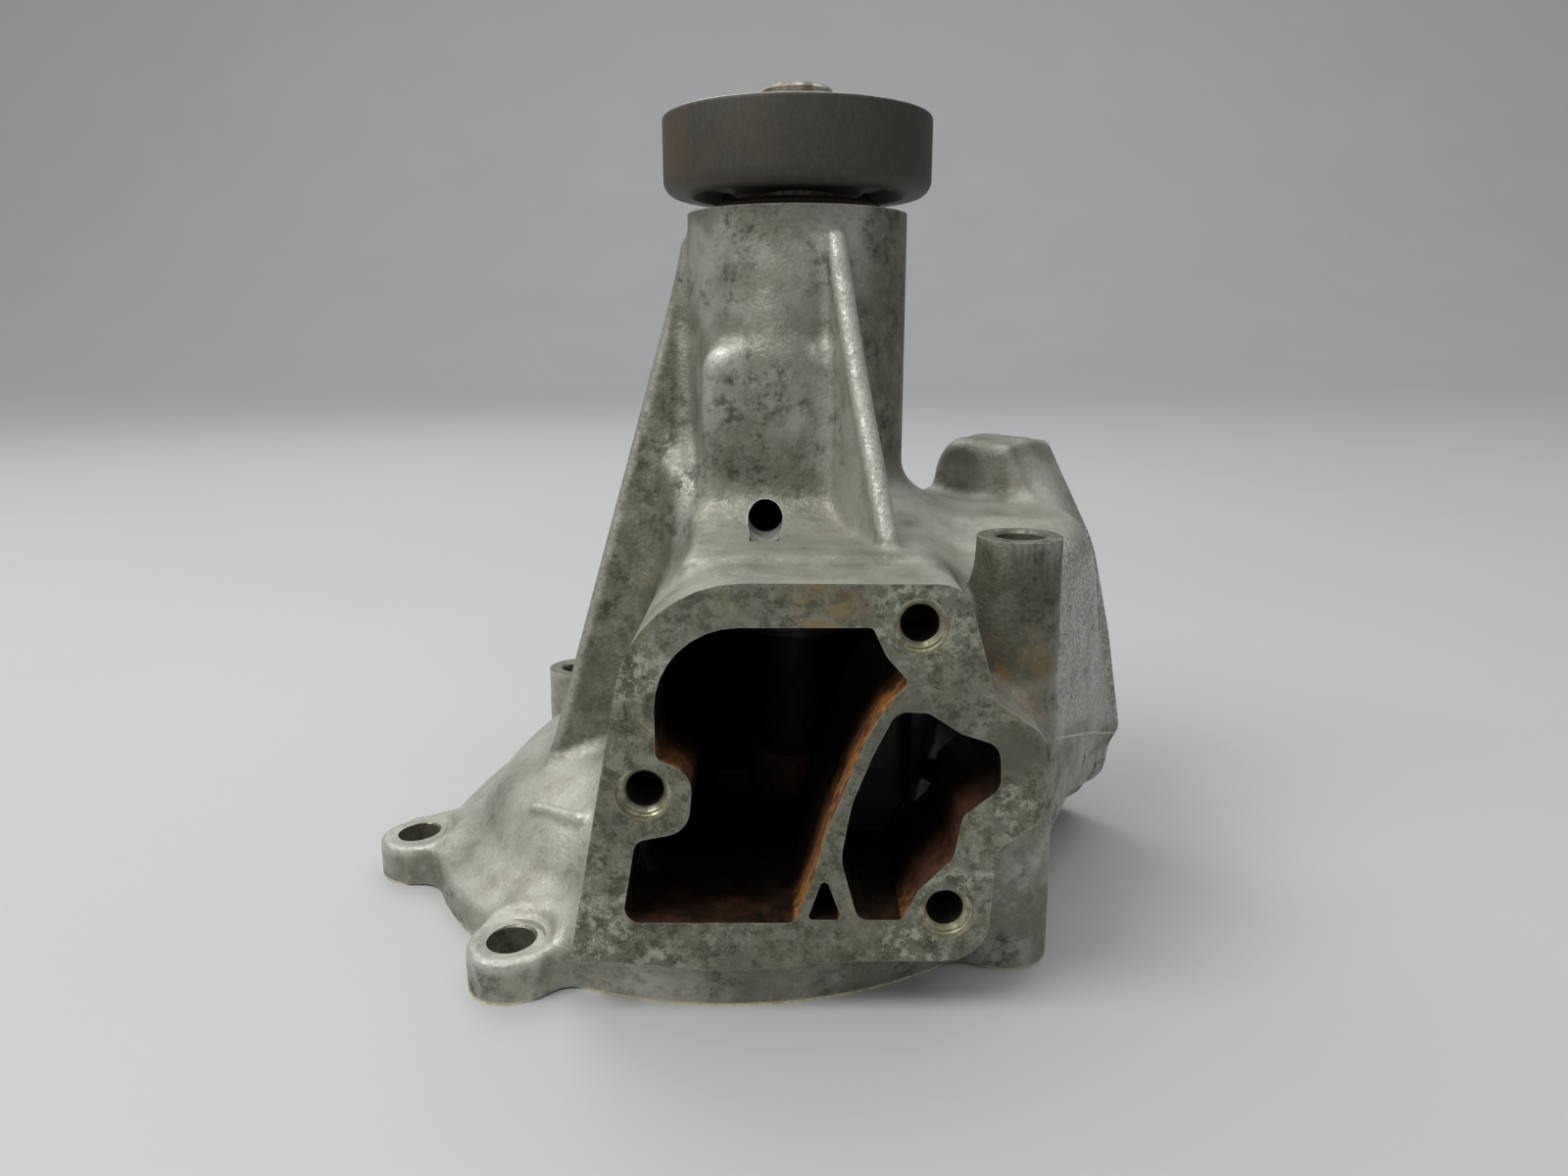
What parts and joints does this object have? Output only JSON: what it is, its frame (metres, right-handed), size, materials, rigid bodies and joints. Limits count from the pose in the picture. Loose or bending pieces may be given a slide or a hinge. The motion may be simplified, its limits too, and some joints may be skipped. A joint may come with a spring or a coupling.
{
  "type": "water pump",
  "caption": "Engine coolant pump with a cast housing on a round engine flange, a tall bearing nose with a drive hub, a front inlet flange and a side outlet flange.",
  "frame": {"origin": "the shaft axis in the engine mounting face, the underside of the gasket", "axes": "+Z along the shaft from the engine face to the hub; -Y out of the thermostat face; +X completes a right-handed frame"},
  "size_m": [0.181, 0.1599, 0.1779],
  "materials": {
    "cast_aluminium": "as-cast, stained and oxidised",
    "gasket": "aged fibre",
    "bearing_steel": "dark with rust",
    "seal_rubber": "matt",
    "seal_brass": "stamped",
    "spring_steel": "drawn wire",
    "carbon": "lapped",
    "shaft_steel": "ground",
    "hub_iron": "turned, darkly oxidised",
    "seal_ceramic": "lapped",
    "impeller_iron": "rust-brown deposit",
    "cage_plastic": "moulded",
    "ball_steel": "polished"
  },
  "bodies": {
    "housing": {"pump_housing": "cast_aluminium", "mounting_gasket": "gasket", "bearing_outer_ring": "bearing_steel", "front_bearing_seal": "seal_rubber", "rear_bearing_seal": "seal_rubber", "seal_case": "seal_brass", "seal_bellows": "seal_rubber", "seal_spring": "spring_steel", "seal_spring_retainer": "spring_steel", "bellows_ferrule": "seal_brass", "seal_carbon_ring": "carbon"},
    "rotor": {"shaft": "shaft_steel", "hub": "hub_iron", "slinger": "seal_rubber", "seal_seat_ring": "seal_ceramic", "seal_seat_cup": "seal_rubber", "impeller": "impeller_iron"},
    "ball_row": {"ball_cage": "cage_plastic", "bearing_balls": "ball_steel"},
    "roller_row": {"roller_cage": "cage_plastic", "bearing_rollers": "ball_steel"}
  },
  "joints": [
    {"name": "shaft_spin", "type": "hinge", "parent": "housing", "child": "rotor", "pos_m": [0, 0, 0], "axis": [0, 0, 1], "continuous": true},
    {"name": "ball_row_spin", "type": "hinge", "parent": "housing", "child": "ball_row", "pos_m": [0, 0, 0.1395], "axis": [0, 0, 1], "continuous": true},
    {"name": "roller_row_spin", "type": "hinge", "parent": "housing", "child": "roller_row", "pos_m": [0, 0, 0.113], "axis": [0, 0, 1], "continuous": true}
  ],
  "couplings": [
    {"joint": "ball_row_spin", "follows": "shaft_spin", "ratio": 0.3412},
    {"joint": "roller_row_spin", "follows": "shaft_spin", "ratio": 0.3798}
  ]
}
